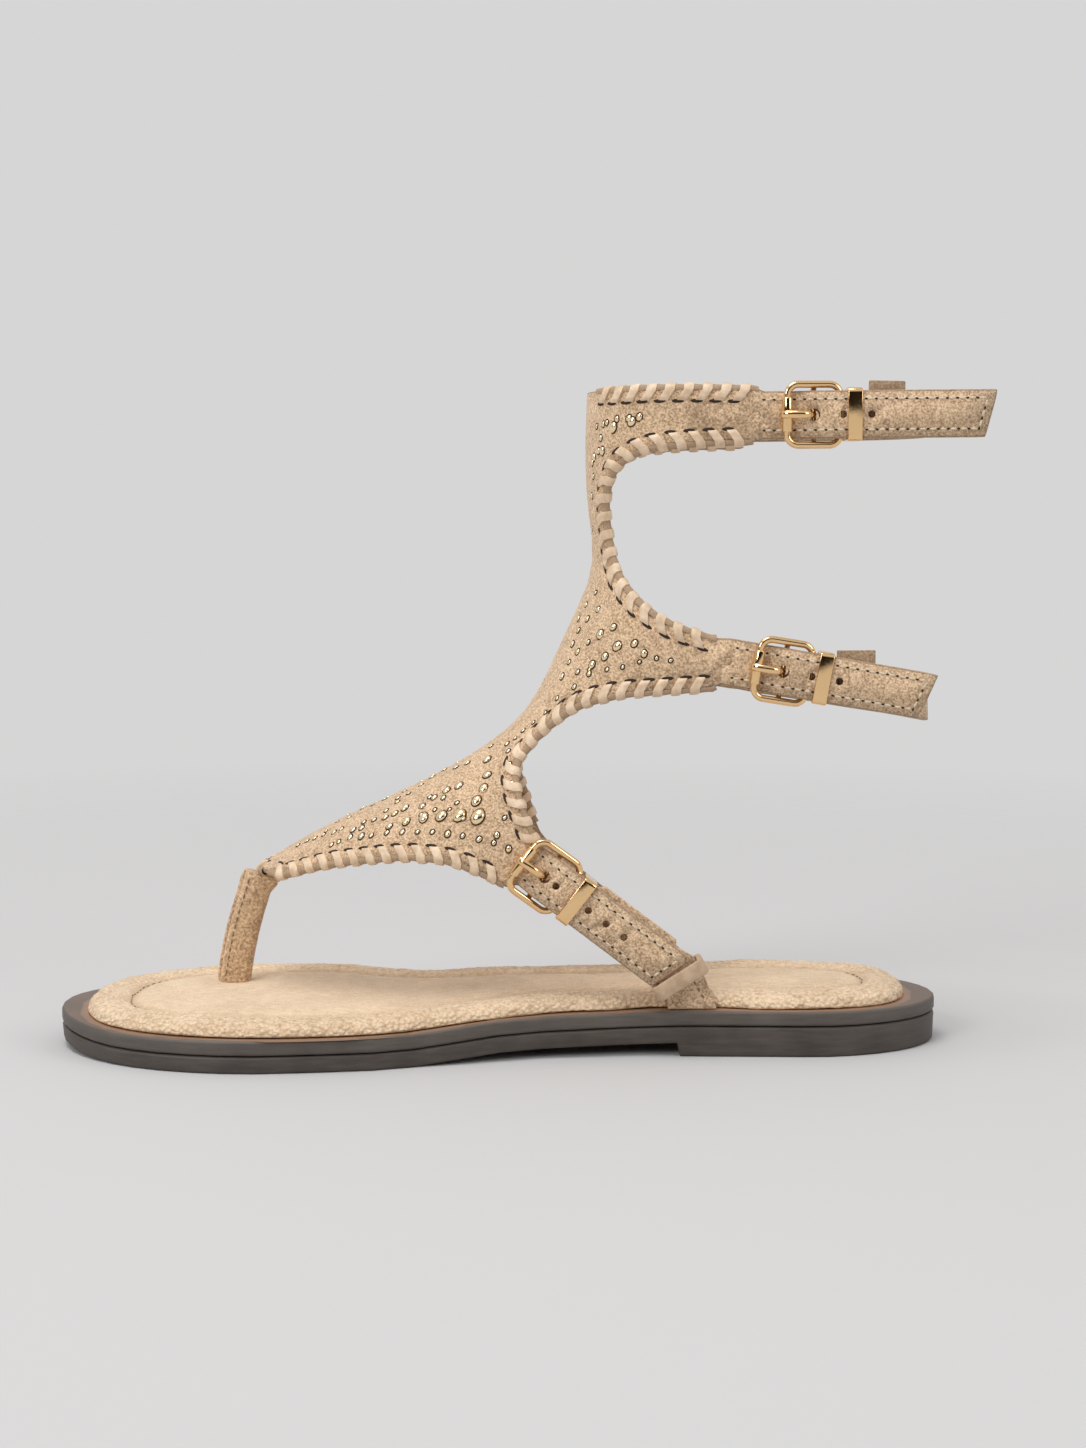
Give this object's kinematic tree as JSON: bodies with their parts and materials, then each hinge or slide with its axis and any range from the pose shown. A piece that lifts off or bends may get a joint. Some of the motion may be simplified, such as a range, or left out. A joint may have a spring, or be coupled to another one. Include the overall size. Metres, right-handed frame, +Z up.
{
  "type": "flat gladiator sandal",
  "caption": "Flat gladiator sandal for the left foot, with a toe post, a suede panel up the shin, buckled straps and a padded footbed on a low two-layer sole.",
  "frame": {"origin": "on the floor, in the middle of the flat tread of the heel", "axes": "+X to the heel end and -X to the toe, -Y to the outer side of the foot and +Y to the inner side, +Z up"},
  "size_m": [0.2699, 0.096, 0.1937],
  "materials": {
    "rubber": "dark taupe brown rubber, satin",
    "rim": "dark brown sole edge, satin",
    "suede": "beige suede",
    "leather": "smooth tan leather",
    "gold": "polished pale gold plating"
  },
  "bodies": {
    "root": {"outsole": "rubber", "midsole": "rim", "insole": "suede", "toe_post": "suede", "upper": "suede", "anchor_strap": "suede", "tail_loop": "leather", "buckle_collar": "gold", "prong_collar": "gold", "keeper_collar": "gold", "buckle_ankle": "gold", "prong_ankle": "gold", "keeper_ankle": "gold", "buckle_vamp": "gold", "prong_vamp": "gold", "keeper_vamp": "gold", "tab_collar": "suede", "tab_ankle": "suede"}
  },
  "joints": []
}
